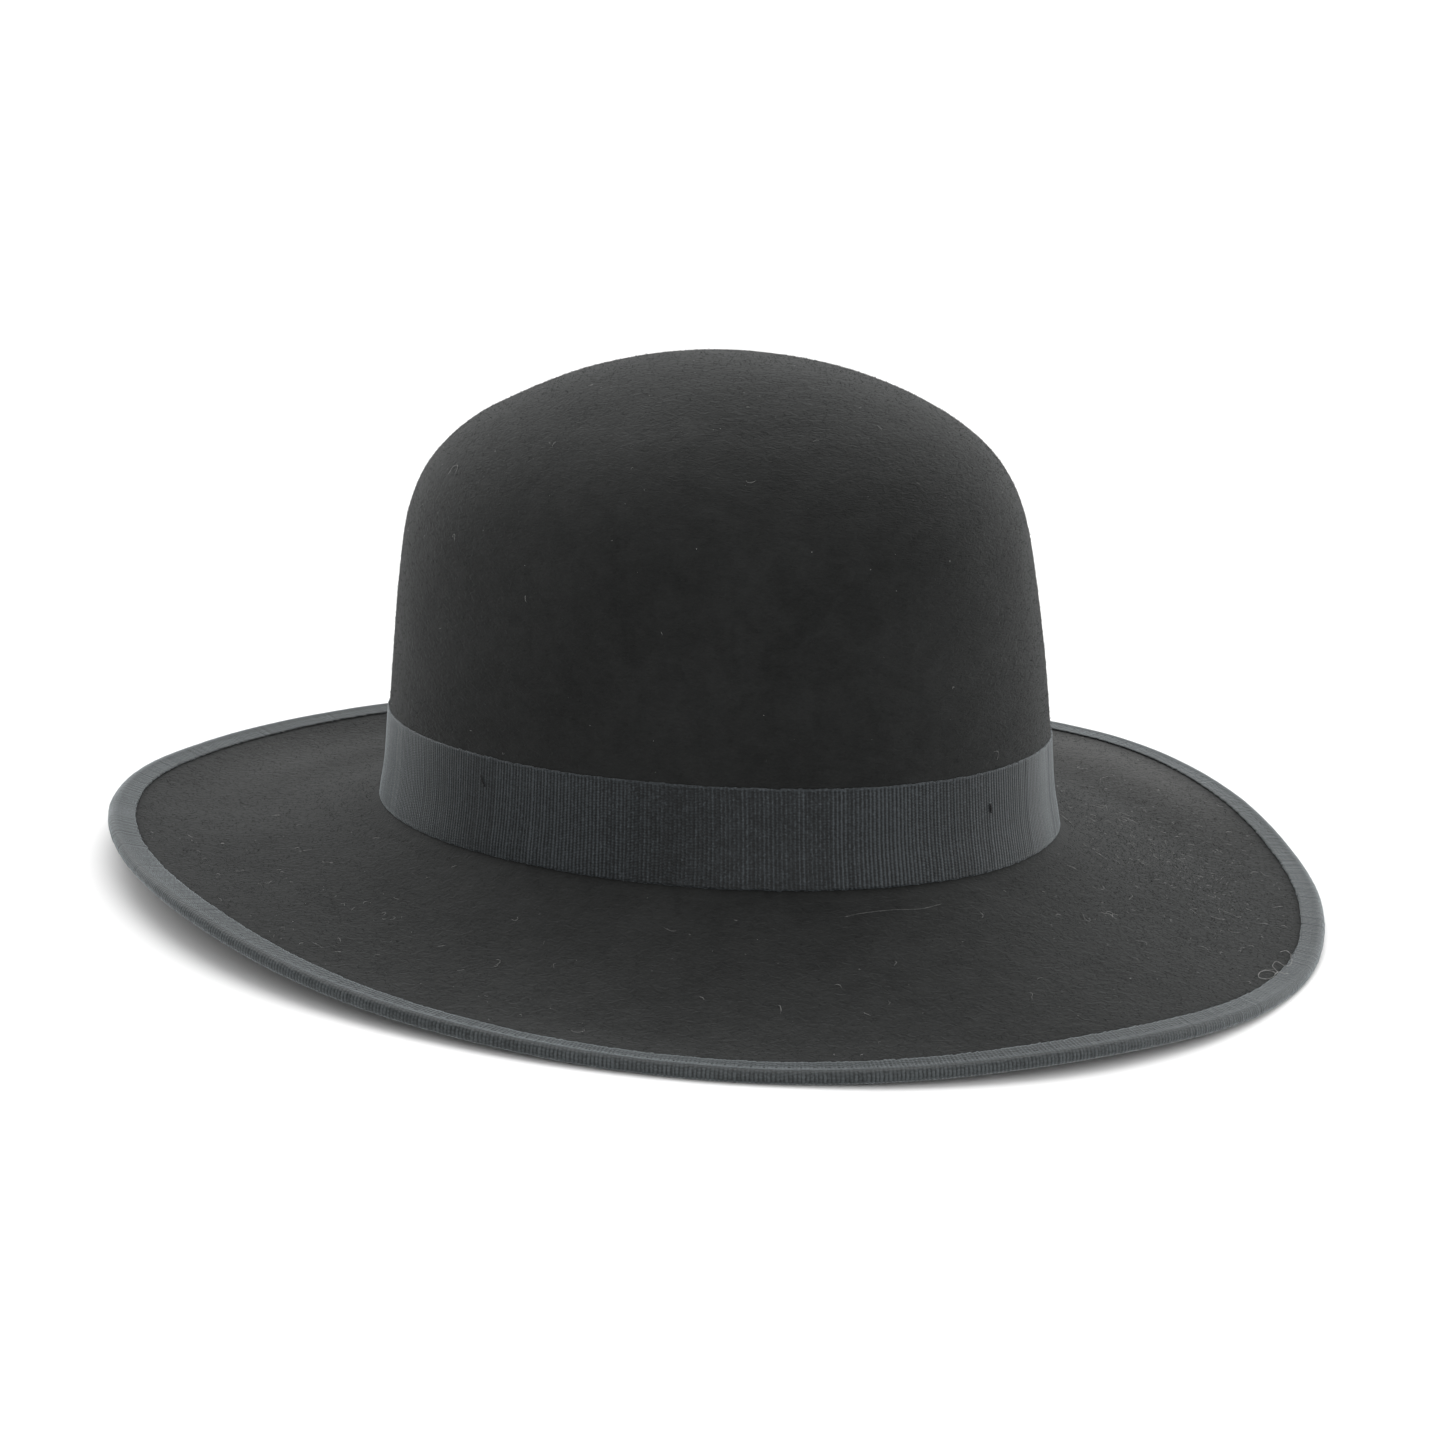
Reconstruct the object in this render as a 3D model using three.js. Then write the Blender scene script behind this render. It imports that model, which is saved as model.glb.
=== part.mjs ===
// A gardian hat: one felt body with a round crown and a wide curved brim, a ribbon round the
// foot of the crown, and a second ribbon folded over the edge of the brim.
// Millimetres, +Z up. The hat faces -Y and rests on its brim, on the plane z = 0.
// Angles go round the hat from +X, counter-clockwise from above, so 270 degrees is the front.
import * as THREE from "three";

const DEGREE = Math.PI / 180;

// Head oval, measured on the outer face of the ribbon at its lower edge
const HALF_WIDTH = 87;
const HALF_LENGTH = 103.5;
const SIDE_RISE = 0.5; // the oval's sides stand this far above its mean, its ends as far below

// Crown: a leaning wall, a shoulder arc and a top arc, drawn at the oval's mean radius
const CROWN_HEIGHT = 124;
const MEAN_RADIUS = 94.4;
const WALL_LEAN = 4.4 * DEGREE;
const SHOULDER_RADIUS = 48;
const TOP_RADIUS = 139;
const TOP_SHIFT_X = -1;
const TOP_SHIFT_Y = -0.5;
const FOOT_FLARE = 1.2; // the wall spreads by this much at its foot
const FOOT_FLARE_HEIGHT = 7.5;

// Cloth
const FELT = 2.2;
const RIBBON = 1;
const GAP = 0.3; // clearance between the crown and the ribbon that lies on it
const RIBBON_WIDTH = 25;
const RIBBON_STEP = 0.5; // the ribbon's outer face stands this proud of the crown above it

// Brim: its width from the ribbon to its edge, along the felt, and how steeply it falls
const BRIM_WIDTH = 75.5;
const BRIM_DROP = 1.5; // the brim starts this far under the ribbon's lower edge
// Each row is one angle round the hat, with the brim's fall below level in degrees
const BRIM_FALL = [
  { angle: 0, atCrown: 19, halfway: 0, atEdge: -5.5 },
  { angle: 30, atCrown: 23, halfway: -3, atEdge: -14 },
  { angle: 60, atCrown: 24, halfway: -4, atEdge: -21.5 },
  { angle: 90, atCrown: 21, halfway: -2, atEdge: -18 },
  { angle: 120, atCrown: 25, halfway: -2, atEdge: -20 },
  { angle: 150, atCrown: 26, halfway: -3, atEdge: -17.5 },
  { angle: 180, atCrown: 24, halfway: 3, atEdge: -7 },
  { angle: 210, atCrown: 29, halfway: 14, atEdge: -0.5 },
  { angle: 240, atCrown: 29, halfway: 20, atEdge: 5.5 },
  { angle: 270, atCrown: 26, halfway: 18, atEdge: 11.5 },
  { angle: 300, atCrown: 29, halfway: 20, atEdge: 9.5 },
  { angle: 330, atCrown: 26, halfway: 13, atEdge: -0.5 },
];

// Bound edge of the brim
const BINDING_REACH = 6.4; // the binding reaches this far in from the edge, above and below
const LIP = 1.1; // the felt is pressed to this inside the binding
const LIP_GAP = 0.25; // clearance between the lip and the binding round it
const LIP_TAPER = 1.5; // the felt thins over this length, just before the binding
const BOUND_EDGE = LIP + 2 * LIP_GAP + 2 * RIBBON;

// How the hat lies: turned from its own upright position, then sunk a little into its softness
const REST_PITCH = -3.9 * DEGREE;
const REST_ROLL = -0.15 * DEGREE;
const REST_SINK = 0.5;

// Mesh fineness: sections round the hat, and rows along each curve of a section
const ANGLES = 72;
const TOP_ROWS = 4;
const SHOULDER_ROWS = 7;
const BRIM_ROWS = 8;
const CORNER_ROWS = 3;
const LIP_ROWS = 2;
const FOLD_OUTER_ROWS = 6;
const FOLD_INNER_ROWS = 3;
const BRIM_STEPS = 19; // steps that the brim's curve is summed over, across its whole width

// The crown's meridian at the mean radius: the length of the wall and the shoulder's centre.
// The wall's line, offset inwards by the shoulder's radius, is run up to where the shoulder's
// circle touches the top's circle from inside.
function crownMeridian() {
  const up = new THREE.Vector2(-Math.sin(WALL_LEAN), Math.cos(WALL_LEAN));
  const inward = new THREE.Vector2(-Math.cos(WALL_LEAN), -Math.sin(WALL_LEAN));
  const topCentre = new THREE.Vector2(0, CROWN_HEIGHT - TOP_RADIUS);
  const foot = new THREE.Vector2(MEAN_RADIUS, 0).addScaledVector(inward, SHOULDER_RADIUS);
  const toFoot = foot.clone().sub(topCentre);
  const along = toFoot.dot(up);
  const reach = TOP_RADIUS - SHOULDER_RADIUS;
  const wallLength = -along + Math.sqrt(along ** 2 - toFoot.lengthSq() + reach ** 2);
  const shoulderCentre = foot.addScaledVector(up, wallLength);
  const joinAngle = shoulderCentre.clone().sub(topCentre).angle();
  return { topCentre, shoulderCentre, joinAngle };
}

const MERIDIAN = crownMeridian();

// Points of the meridian's two arcs from the top down, each moved inwards by `inset`
function domeProfile(inset) {
  const points = [];
  const { topCentre, shoulderCentre, joinAngle } = MERIDIAN;
  for (let i = 0; i < TOP_ROWS; i++) {
    const angle = Math.PI / 2 + ((joinAngle - Math.PI / 2) * i) / TOP_ROWS;
    const radius = TOP_RADIUS - inset;
    points.push({
      radius: i === 0 ? 0 : topCentre.x + radius * Math.cos(angle),
      height: topCentre.y + radius * Math.sin(angle),
    });
  }
  for (let i = 0; i <= SHOULDER_ROWS; i++) {
    const angle = joinAngle + ((WALL_LEAN - joinAngle) * i) / SHOULDER_ROWS;
    const radius = SHOULDER_RADIUS - inset;
    points.push({
      radius: shoulderCentre.x + radius * Math.cos(angle),
      height: shoulderCentre.y + radius * Math.sin(angle),
    });
  }
  return points;
}

// The mean radius of the wall at a height, `inset` inside the ribbon's outer face
function wallPoint(height, inset) {
  return {
    radius: MEAN_RADIUS - height * Math.tan(WALL_LEAN) - inset / Math.cos(WALL_LEAN),
    height,
  };
}

// A point of the crown: the mean meridian stretched to the head oval
function crownPoint(angle, { radius, height }) {
  const spread = 1 - Math.exp(-((height / FOOT_FLARE_HEIGHT) ** 2));
  const scale = (radius / MEAN_RADIUS) * (1 - (FOOT_FLARE / MEAN_RADIUS) * spread);
  const rise = height / CROWN_HEIGHT;
  return new THREE.Vector3(
    HALF_WIDTH * Math.cos(angle) * scale + TOP_SHIFT_X * rise,
    HALF_LENGTH * Math.sin(angle) * scale + TOP_SHIFT_Y * rise,
    height + SIDE_RISE * Math.cos(2 * angle) * (1 - rise) ** 2,
  );
}

// Smooth value between the rows of the brim's table, round the whole hat
function fallAt(angle, column) {
  const count = BRIM_FALL.length;
  const place = (angle / (2 * Math.PI)) * count;
  const row = Math.floor(place);
  const f = place - row;
  const [a, b, c, d] = [-1, 0, 1, 2].map((k) => BRIM_FALL[(row + k + count) % count][column]);
  const curve = (2 * a - 5 * b + 4 * c - d) * f ** 2 + (3 * b - a - 3 * c + d) * f ** 3;
  return (b + ((c - a) * f + curve) / 2) * DEGREE;
}

// The brim's section at one angle: a function of the distance from the ribbon and the depth
// under the brim's upper surface
function brimSection(angle) {
  const atCrown = fallAt(angle, "atCrown");
  const halfway = fallAt(angle, "halfway");
  const atEdge = fallAt(angle, "atEdge");
  const fall = (k) =>
    atCrown * (1 - k) * (1 - 2 * k) + halfway * 4 * k * (1 - k) + atEdge * k * (2 * k - 1);
  const outward = new THREE.Vector3(
    Math.cos(angle) / HALF_WIDTH,
    Math.sin(angle) / HALF_LENGTH,
    0,
  ).normalize();
  const start = crownPoint(angle, wallPoint(0, 0));
  start.z -= BRIM_DROP;
  return (distance, depth) => {
    const steps = Math.max(1, Math.ceil((distance / BRIM_WIDTH) * BRIM_STEPS));
    const length = distance / steps;
    const point = start.clone();
    for (let i = 0; i < steps; i++) {
      const slope = fall(((i + 0.5) * length) / BRIM_WIDTH);
      point.addScaledVector(outward, length * Math.cos(slope));
      point.z -= length * Math.sin(slope);
    }
    const slope = fall(distance / BRIM_WIDTH);
    point.addScaledVector(outward, -depth * Math.sin(slope));
    point.z -= depth * Math.cos(slope);
    return point;
  };
}

// A rounded corner between a wall point and a brim point, as the points between them.
// The corner lies under the wall point, on the brim's slope carried inwards.
function cornerPoints(wall, brim, slope) {
  const across = Math.hypot(brim.x - wall.x, brim.y - wall.y);
  const corner = new THREE.Vector3(wall.x, wall.y, brim.z + across * Math.tan(slope));
  const curve = new THREE.QuadraticBezierCurve3(wall, corner, brim);
  return curve.getPoints(CORNER_ROWS).slice(1, -1);
}

// The felt's section: from the top of the crown down its outer face, out along the brim,
// round the edge and back under the brim to the inside of the crown's top
// Rows of the outer wall, by height above the ribbon's lower edge, and how far each lies inside
// the ribbon's outer face
const OUTER_WALL = [
  { height: 42, inset: RIBBON_STEP },
  { height: RIBBON_WIDTH + 2, inset: RIBBON_STEP },
  { height: RIBBON_WIDTH + 0.5, inset: RIBBON + GAP },
  { height: 13, inset: RIBBON + GAP },
  { height: 6, inset: RIBBON + GAP },
  { height: 3, inset: RIBBON + GAP },
  { height: 0.8, inset: RIBBON + GAP },
];
const INNER_WALL = [
  { height: 3, inset: RIBBON_STEP + FELT },
  { height: 10, inset: RIBBON_STEP + FELT },
];
const BRIM_FOOT = 1.6; // where the corner between crown and brim ends, out from the ribbon

function feltSection(angle) {
  const brim = brimSection(angle);
  const slope = fallAt(angle, "atCrown");
  const onCrown = (point) => crownPoint(angle, point);
  const onWall = (row) => crownPoint(angle, wallPoint(row.height, row.inset));
  const edgeStep = (BOUND_EDGE - FELT) / 2;
  const upper = (distance) => (edgeStep * distance) / BRIM_WIDTH;
  const lipStart = BRIM_WIDTH - BINDING_REACH - GAP;
  const taperStart = lipStart - LIP_TAPER;
  const lipRadius = LIP / 2;
  const lipEnd = BRIM_WIDTH - BOUND_EDGE / 2;
  const lipMiddle = BOUND_EDGE / 2;
  const distances = [];
  for (let i = 0; i < BRIM_ROWS; i++) {
    distances.push(BRIM_FOOT + ((taperStart - BRIM_FOOT) * i) / (BRIM_ROWS - 1));
  }

  const outer = [
    ...domeProfile(RIBBON_STEP).map(onCrown),
    ...OUTER_WALL.map(onWall),
  ];
  const top = distances.map((distance) => brim(distance, upper(distance)));
  const lip = [brim(lipStart, lipMiddle - lipRadius)];
  for (let i = 0; i <= LIP_ROWS; i++) {
    const turn = Math.PI / 2 - (Math.PI * i) / LIP_ROWS;
    const distance = lipEnd + lipRadius * Math.cos(turn);
    lip.push(brim(distance, lipMiddle - lipRadius * Math.sin(turn)));
  }
  lip.push(brim(lipStart, lipMiddle + lipRadius));
  const under = distances.map((distance) => brim(distance, upper(distance) + FELT)).reverse();
  const inner = [
    ...INNER_WALL.map(onWall),
    ...domeProfile(RIBBON_STEP + FELT).reverse().map(onCrown),
  ];
  const outerCorner = cornerPoints(outer.at(-1), top[0], slope);
  const innerCorner = cornerPoints(inner[0], under.at(-1), slope).reverse();
  return [...outer, ...outerCorner, ...top, ...lip, ...under, ...innerCorner, ...inner];
}

// The ribbon's section, up its outer face and down its inner face
const RIBBON_HEIGHTS = [0, 2, 4.5, 8, 14, RIBBON_WIDTH * Math.cos(WALL_LEAN)];

function ribbonSection(angle) {
  const face = (inset) =>
    RIBBON_HEIGHTS.map((height) => crownPoint(angle, wallPoint(height, inset)));
  return [...face(RIBBON), ...face(0).reverse()];
}

// The binding's section: a flat U that opens towards the crown, first its outer face from
// above, then its inner face from below
function bindingSection(angle) {
  const brim = brimSection(angle);
  const turnCentre = BRIM_WIDTH - BOUND_EDGE / 2;
  const legEnd = BRIM_WIDTH - BINDING_REACH;
  const face = (inset, steps) => {
    const radius = BOUND_EDGE / 2 - inset;
    const points = [brim(legEnd, inset)];
    for (let i = 0; i <= steps; i++) {
      const turn = Math.PI / 2 - (Math.PI * i) / steps;
      const depth = BOUND_EDGE / 2 - radius * Math.sin(turn);
      points.push(brim(turnCentre + radius * Math.cos(turn), depth));
    }
    points.push(brim(legEnd, BOUND_EDGE - inset));
    return points;
  };
  return [...face(0, FOLD_OUTER_ROWS), ...face(RIBBON, FOLD_INNER_ROWS).reverse()];
}

// A closed mesh from one section per angle. With `poles`, the first and the last point of each
// section lie on the hat's middle line and are one point each; otherwise the section is a loop.
function roundMesh(section, poles) {
  const sections = [];
  for (let i = 0; i < ANGLES; i++) {
    sections.push(section((2 * Math.PI * i) / ANGLES));
  }
  const rows = sections[0].length;
  const vertices = sections.flat().flatMap((point) => point.toArray());
  const index = [];
  const vertex = (i, row) => {
    if (poles && (row === 0 || row === rows - 1)) return row;
    return (i % ANGLES) * rows + (row % rows);
  };
  const lastRow = poles ? rows - 1 : rows;
  for (let i = 0; i < ANGLES; i++) {
    for (let row = 0; row < lastRow; row++) {
      const a = vertex(i, row);
      const b = vertex(i, row + 1);
      const c = vertex(i + 1, row + 1);
      const d = vertex(i + 1, row);
      if (b !== c) index.push(a, b, c);
      if (a !== d) index.push(a, c, d);
    }
  }
  const geometry = new THREE.BufferGeometry();
  geometry.setAttribute("position", new THREE.Float32BufferAttribute(vertices, 3));
  geometry.setIndex(index);
  return geometry;
}

// The lowest point of a set of geometries
function lowest(geometries) {
  return Math.min(
    ...geometries.map((geometry) => {
      geometry.computeBoundingBox();
      return geometry.boundingBox.min.z;
    }),
  );
}

// Lays the soft pieces on the plane z = 0, where they flatten a little
function layDown(geometries) {
  geometries.forEach((geometry) => geometry.rotateX(REST_PITCH).rotateY(REST_ROLL));
  const lift = -lowest(geometries) - REST_SINK;
  for (const geometry of geometries) {
    geometry.translate(0, 0, lift);
    const position = geometry.getAttribute("position");
    for (let i = 0; i < position.count; i++) {
      position.setZ(i, Math.max(0, position.getZ(i)));
    }
    geometry.computeVertexNormals();
  }
}

const felt = roundMesh(feltSection, true);
const ribbon = roundMesh(ribbonSection, false);
const binding = roundMesh(bindingSection, false);
layDown([felt, ribbon, binding]);

const feltMaterial = new THREE.MeshStandardMaterial({
  color: 0x2b2d2c,
  roughness: 0.95,
  metalness: 0,
});
const ribbonMaterial = new THREE.MeshStandardMaterial({
  color: 0x424446,
  roughness: 0.75,
  metalness: 0,
});
const bindingMaterial = new THREE.MeshStandardMaterial({
  color: 0x4a4c4e,
  roughness: 0.75,
  metalness: 0,
});

function piece(name, geometry, material) {
  const mesh = new THREE.Mesh(geometry, material);
  mesh.name = name;
  return mesh;
}

const hat = new THREE.Group();
hat.add(
  piece("felt_body", felt, feltMaterial),
  piece("crown_ribbon", ribbon, ribbonMaterial),
  piece("edge_binding", binding, bindingMaterial),
);

// The origin lies under the middle of the hat
const middle = new THREE.Box3().setFromObject(hat).getCenter(new THREE.Vector3());
hat.position.set(-middle.x, -middle.y, 0);

export default hat;
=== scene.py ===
"""A gardian hat: black felt with a round crown, a corded ribbon round its foot and a bound brim.

Sizes are in millimetres in the hat's own upright frame. laid_down() turns it as it rests on its
brim and gives metres. Angles go round the hat from +X, counter-clockwise from above, so the
front is at 270 degrees.
"""

import math

import bpy
import numpy as np
from mathutils import Matrix, Vector
from mathutils.bvhtree import BVHTree


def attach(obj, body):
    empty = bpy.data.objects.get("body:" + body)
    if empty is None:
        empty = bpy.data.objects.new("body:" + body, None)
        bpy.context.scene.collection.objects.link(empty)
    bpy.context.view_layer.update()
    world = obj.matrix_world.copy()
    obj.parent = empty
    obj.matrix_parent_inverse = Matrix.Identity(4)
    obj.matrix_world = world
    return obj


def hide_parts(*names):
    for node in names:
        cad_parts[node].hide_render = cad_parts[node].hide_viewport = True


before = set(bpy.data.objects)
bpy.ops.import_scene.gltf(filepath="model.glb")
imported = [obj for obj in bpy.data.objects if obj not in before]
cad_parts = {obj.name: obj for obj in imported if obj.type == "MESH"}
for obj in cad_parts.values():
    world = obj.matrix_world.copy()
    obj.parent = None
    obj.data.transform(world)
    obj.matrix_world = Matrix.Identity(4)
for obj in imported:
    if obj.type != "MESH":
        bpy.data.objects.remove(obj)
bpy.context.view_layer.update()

# Head oval and crown, as in the CAD model
HALF_WIDTH = 87.0
HALF_LENGTH = 103.5
SIDE_RISE = 0.5
CROWN_HEIGHT = 124.0
MEAN_RADIUS = 94.4
WALL_LEAN = math.radians(4.4)
SHOULDER_RADIUS = 48.0
TOP_RADIUS = 139.0
TOP_SHIFT_X = -1.0
TOP_SHIFT_Y = -0.5
FOOT_FLARE = 1.2  # the crown widens this much at its foot
FOOT_FLARE_HEIGHT = 7.5

# Cloth
FELT = 2.2
RIBBON_WIDTH = 25.0
RIBBON_STEP = 0.5  # the crown ribbon's outer face stands this proud of the felt
RIBBON_INNER = 0.42  # the crown ribbon's inner face lies this far inside its outer one
RIB_PITCH = 1.1  # crown ribbon
EDGE_RIB_PITCH = 1.02  # binding
THREAD_PITCH = 0.7  # of the threads wound round each rib
BINDING = 0.6  # thickness of the ribbon folded over the edge

# Brim
BRIM_WIDTH = 75.5
BRIM_DROP = 1.5
FOOT_FILL = 0.6  # the felt rises this much towards the ribbon's edge
FOOT_FILL_REACH = 4.0
BINDING_REACH = 6.4
BOUND_EDGE = 3.6
# Every 30 degrees, the brim's fall below level at the crown, halfway and at the edge
BRIM_FALL = np.array([
    (0, 19, 0, -5.5), (30, 23, -3, -14), (60, 24, -4, -21.5), (90, 21, -2, -18),
    (120, 25, -2, -20), (150, 26, -3, -17.5), (180, 24, 3, -7), (210, 29, 14, -0.5),
    (240, 29, 20, 5.5), (270, 26, 18, 11.5), (300, 29, 20, 9.5), (330, 26, 13, -0.5),
])
BRIM_CELLS = 151
# Soft patches of the brim: angle and spread in degrees, distance from the ribbon and spread in
# mm, then how high the felt waves, how strong the painted sheen is, or how much fluff it has
BRIM_WAVES = np.array([
    (115, 17, 46, 6.0, 0.9), (100, 10, 31, 6.0, -0.4), (3, 17, 55, 7.5, 1.5),
    (350, 10, 38, 6.0, -0.5), (345, 8, 27, 5.5, 0.4), (330, 12, 44, 9.0, -0.4),
    (191, 13, 32, 11.0, -1.2), (160, 12, 34, 10.0, 0.6), (312, 11, 36, 8.0, 0.35),
    (225, 12, 60, 7.0, -0.4), (285, 15, 50, 10.0, 0.25), (40, 14, 40, 7.0, 0.4),
    (70, 12, 52, 6.0, -0.35),
])
# Painted sheen: where the brim's felt is painted a lighter grey, standing in for grazing sheen
PAINTED_SHEEN_PATCHES = np.array([
    (6, 15, 56, 11, 1.15), (348, 9, 60, 9, 0.25), (114, 18, 48, 16, 0.35),
    (343, 9, 29, 5, 0.15),
])
FLUFF = np.array([
    (324, 19, 36, 21, 1.0), (182, 22, 45, 22, 0.2), (245, 60, 35, 30, 0.04),
])
# Angle and its spread in degrees, then how much more the crown ribbon's ribs stand out there
RIB_CHANGE = np.array([
    (263, 15, 0.35), (208, 12, 0.2), (233, 8, -0.3), (303, 9, -0.35), (170, 9, -0.3),
])
# Angle and its spread in degrees, then how much further the binding reaches there, in mm
REACH_CHANGE = np.array([(178, 19, 1.6), (353, 24, 0.5)])

# How the hat lies, as in the CAD model: turned about X and Y, then moved by so many mm
REST_PITCH = math.radians(-3.9)
REST_ROLL = math.radians(-0.15)
REST_SHIFT = np.array([-0.26239776611, -0.69652557373, 19.69864754823])

# Camera, in the hat's own frame. The point it looks at is to the right and up from the origin
CAMERA_TURN = math.radians(-33.48)
CAMERA_RISE = math.radians(11.35)
CAMERA_ROLL = math.radians(0.5)
CAMERA_DISTANCE = 1048.45
CAMERA_AIM_RIGHT = 1.15
CAMERA_AIM_UP = 22.91
CAMERA_LENS = 96.08
SENSOR = 36.0

# Height, then how far the crown swells past its two arcs there, in mm: all round, and more
# towards CROWN_LEAN_SIDE (and as much less on the other side)
CROWN_SWELL = np.array([
    (0, 0.55, 0), (12, 0.8, 0), (25, 1.0, -0.05), (36, 0.95, -0.05), (46, 0.75, -0.1),
    (55, 0.45, -0.3), (64, 0.0, -0.42), (73, -0.45, -0.45), (82, -0.3, -0.32), (90, 0.0, -0.1),
    (98, -0.12, 0.35), (105, -0.5, 0.68), (110, -0.52, 0.95), (114, -0.32, 1.0),
    (118, -0.12, 0.85), (121, -0.08, 0.55), (124, -0.05, 0),
])
CROWN_LEAN_SIDE = math.radians(-33.5)

# Where the ends of each ribbon meet, on the hidden side: angle, and how far from the middle
RIBBON_SEAM = (math.radians(10), 86.0)
BINDING_SEAM = (math.radians(70), 170.0)

# Colours, linear
FELT_DARK, FELT_LIGHT = (0.0048, 0.0052, 0.0050), (0.0157, 0.0164, 0.0161)
# The lighter grey of the brim's painted sheen
PAINTED_SHEEN_GREY = (0.046, 0.046, 0.045)
NAP_DARK, NAP_LIGHT = (0.005, 0.0055, 0.0053), (0.012, 0.0125, 0.0122)
# The valley colours are painted shade: darker where shade falls between the ribs, in the
# binding's slits and on the ribbons' hidden inner faces. The crest colours are the ribbons' own.
RIBBON_VALLEY_SHADE, RIBBON_CREST = (0.0008, 0.0016, 0.0021), (0.041, 0.048, 0.053)
BINDING_VALLEY_SHADE, BINDING_CREST = (0.004, 0.0056, 0.006), (0.047, 0.054, 0.057)
THREAD_DARK, THREAD_LIGHT = (0.004, 0.004, 0.005), (0.012, 0.012, 0.013)
LINT_DARK, LINT_LIGHT = (0.16, 0.16, 0.156), (0.46, 0.46, 0.45)

MM = 0.001
TURN = 2 * math.pi

# Seeds of the random draws
SEEDS = {
    "drift": 11, "ribbon ribs": 21, "ribbon": 22, "binding ribs": 31, "binding": 32,
    "stitches": 41, "lint": 51, "specks": 61, "nap_crown": 71, "nap_brim": 72,
}


def draws(name):
    return np.random.default_rng(SEEDS[name])


# Shape of the hat
def crown_meridian():
    """Centres of the crown's top and shoulder arcs, and the angle where they join."""
    up = np.array([-math.sin(WALL_LEAN), math.cos(WALL_LEAN)])
    inward = np.array([-math.cos(WALL_LEAN), -math.sin(WALL_LEAN)])
    top = np.array([0.0, CROWN_HEIGHT - TOP_RADIUS])
    foot = np.array([MEAN_RADIUS, 0.0]) + inward * SHOULDER_RADIUS
    to_foot = foot - top
    along = to_foot @ up
    reach = TOP_RADIUS - SHOULDER_RADIUS
    wall = -along + math.sqrt(along**2 - to_foot @ to_foot + reach**2)
    shoulder = foot + up * wall
    joint = shoulder - top
    return top, shoulder, math.atan2(joint[1], joint[0])


TOP_CENTRE, SHOULDER_CENTRE, JOIN_ANGLE = crown_meridian()
WALL_TOP = SHOULDER_CENTRE[1] + SHOULDER_RADIUS * math.sin(WALL_LEAN)


def swell(t, height):
    """How far the crown stands out past its two arcs."""
    even, leaning = (smooth_table(height, CROWN_SWELL[:, 0], CROWN_SWELL[:, k]) for k in (1, 2))
    return even + leaning * np.cos(t - CROWN_LEAN_SIDE)


def smooth_table(x, xs, ys):
    """A smooth curve through a table, level where the table turns and past its ends."""
    x = np.clip(x, xs[0], xs[-1])
    i = int(np.clip(np.searchsorted(xs, x) - 1, 0, len(xs) - 2))
    slopes = np.gradient(ys, xs)
    step = xs[i + 1] - xs[i]
    f = (x - xs[i]) / step
    return (
        ys[i] * (1 + 2 * f) * (1 - f) ** 2
        + slopes[i] * step * f * (1 - f) ** 2
        + ys[i + 1] * f**2 * (3 - 2 * f)
        - slopes[i + 1] * step * f**2 * (1 - f)
    )


def dome_rows(t, inset, top_rows, shoulder_rows):
    """Rows of the crown's top and shoulder, from the pole down."""
    arcs = []
    for i in range(top_rows):
        a = math.pi / 2 + (JOIN_ANGLE - math.pi / 2) * i / top_rows
        arcs.append((TOP_CENTRE, TOP_RADIUS, a))
    for i in range(shoulder_rows + 1):
        a = JOIN_ANGLE + (WALL_LEAN - JOIN_ANGLE) * i / shoulder_rows
        arcs.append((SHOULDER_CENTRE, SHOULDER_RADIUS, a))
    rows = []
    for centre, radius, a in arcs:
        out, across = radius - inset, 0.0
        if rows:
            out = out + swell(t, centre[1] + radius * math.sin(a))
            across = centre[0] + out * math.cos(a)
        rows.append(crown_point(t, across, centre[1] + out * math.sin(a)))
    return rows


def crown_point(t, radius, height):
    """Points of the oval crown, given its mean radius at their height."""
    spread = 1 - np.exp(-((height / FOOT_FLARE_HEIGHT) ** 2))
    scale = radius / MEAN_RADIUS * (1 - FOOT_FLARE / MEAN_RADIUS * spread)
    rise = height / CROWN_HEIGHT
    x = HALF_WIDTH * np.cos(t) * scale + TOP_SHIFT_X * rise
    y = HALF_LENGTH * np.sin(t) * scale + TOP_SHIFT_Y * rise
    z = height + SIDE_RISE * np.cos(2 * t) * (1 - rise) ** 2
    return np.stack(np.broadcast_arrays(x, y, z), -1)


def wall_point(t, height, inset, swollen=True):
    """A point of the crown's wall, inset from the ribbon's outer face."""
    radius = MEAN_RADIUS - height * math.tan(WALL_LEAN) - inset / math.cos(WALL_LEAN)
    if swollen:
        radius = radius + swell(t, float(np.mean(height)))
    return crown_point(t, radius, height)


def catmull(a, b, c, d, f):
    """The smooth curve through four even steps, at the share f of the middle one."""
    curve = (2 * a - 5 * b + 4 * c - d) * f**2 + (3 * b - a - 3 * c + d) * f**3
    return b + ((c - a) * f + curve) / 2


def falls(t):
    """The brim's three falls at each angle, in radians, smooth round the whole hat."""
    rows = BRIM_FALL[:, 1:]
    place = t / TURN * len(rows)
    row = np.floor(place).astype(int)
    f = (place - row)[..., None]
    near = (rows[(row + k) % len(rows)] for k in (-1, 0, 1, 2))
    return np.radians(catmull(*near, f))


def patches(table, t, distance):
    """The sum of a table's soft patches at places on the brim."""
    return sum(
        x * np.exp(-0.5 * ((turned(t, angle) / width) ** 2 + ((distance - place) / reach) ** 2))
        for angle, width, place, reach, x in table
    )


def changes(table, t):
    """The sum of a table's soft changes round the hat."""
    return sum(x * np.exp(-0.5 * (turned(t, angle) / width) ** 2) for angle, width, x in table)


def turned(t, angle):
    """How far angles are past an angle in degrees, from -180 to 180."""
    return (np.degrees(t) - angle + 180) % 360 - 180


BRIM_CELL = BRIM_WIDTH / BRIM_CELLS


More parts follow.
